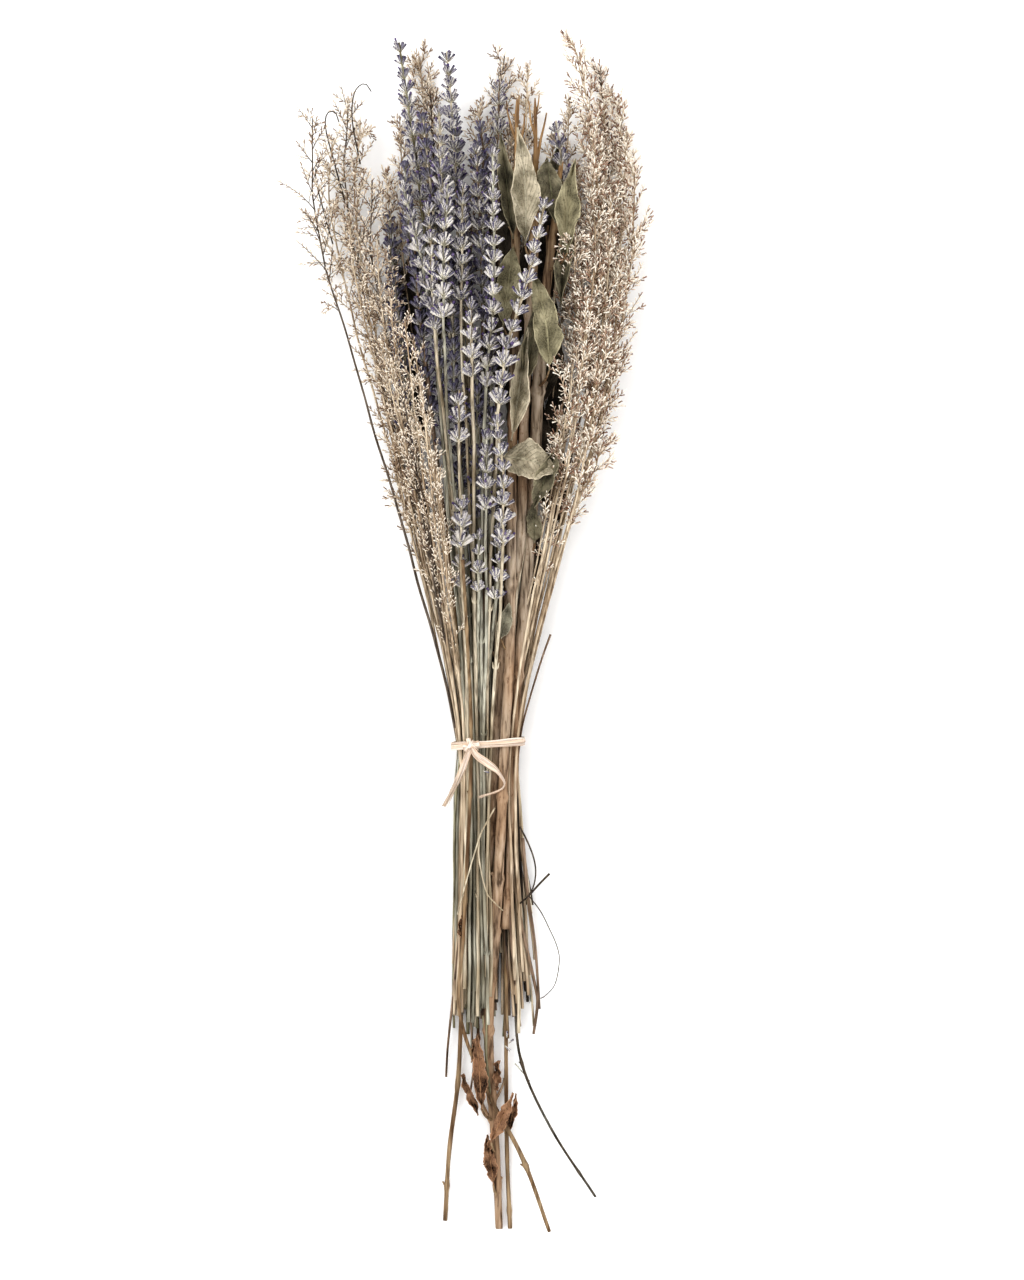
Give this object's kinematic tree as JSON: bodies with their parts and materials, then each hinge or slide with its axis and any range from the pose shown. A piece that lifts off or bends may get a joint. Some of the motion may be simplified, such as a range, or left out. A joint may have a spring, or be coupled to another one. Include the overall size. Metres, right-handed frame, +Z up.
{
  "type": "bunch of dried flowers",
  "caption": "Tied bunch of dried lavender, sea lavender and leafy twigs, lying on its side, bound once round the stems with a knotted strip of raffia.",
  "frame": {"origin": "centre of the bunch's length and width, on the surface it lies on", "axes": "+Y along the bunch towards the flower heads, +Z up from the surface, +X across the bunch"},
  "size_m": [0.172, 0.601, 0.0601],
  "materials": {
    "lavender": "dry, matte",
    "sea_lavender": "dry, matte",
    "bark": "rough bark",
    "twig": "dry, matte",
    "leaf": "dry, matte, veined",
    "dry_leaf": "dry, brittle, curled",
    "raffia": "fibrous, matte"
  },
  "bodies": {
    "root": {"lavender_01": "lavender", "lavender_02": "lavender", "lavender_03": "lavender", "lavender_04": "lavender", "lavender_05": "lavender", "lavender_06": "lavender", "lavender_07": "lavender", "lavender_08": "lavender", "lavender_09": "lavender", "lavender_10": "lavender", "lavender_11": "lavender", "lavender_12": "lavender", "lavender_13": "lavender", "lavender_14": "lavender", "lavender_15": "lavender", "lavender_16": "lavender", "lavender_17": "lavender", "lavender_18": "lavender", "sea_lavender_01": "sea_lavender", "sea_lavender_02": "sea_lavender", "sea_lavender_03": "sea_lavender", "sea_lavender_04": "sea_lavender", "sea_lavender_05": "sea_lavender", "sea_lavender_06": "sea_lavender", "sea_lavender_07": "sea_lavender", "sea_lavender_08": "sea_lavender", "sea_lavender_09": "sea_lavender", "sea_lavender_10": "sea_lavender", "sea_lavender_11": "sea_lavender", "sea_lavender_12": "sea_lavender", "sea_lavender_13": "sea_lavender", "sea_lavender_14": "sea_lavender", "sea_lavender_15": "sea_lavender", "leaf_branch_01": "bark", "leaf_branch_02": "bark", "leaf_branch_03": "bark", "twig_01": "twig", "twig_02": "twig", "twig_03": "twig", "twig_04": "twig", "leaf_01": "leaf", "leaf_02": "leaf", "leaf_03": "leaf", "leaf_04": "leaf", "leaf_05": "leaf", "leaf_06": "leaf", "leaf_07": "leaf", "leaf_08": "leaf", "leaf_09": "leaf", "leaf_10": "leaf", "leaf_11": "leaf", "dry_leaf_01": "dry_leaf", "dry_leaf_02": "dry_leaf", "dry_leaf_03": "dry_leaf", "raffia_band": "raffia", "raffia_knot": "raffia", "raffia_tail_left": "raffia", "raffia_tail_right": "raffia"}
  },
  "joints": []
}
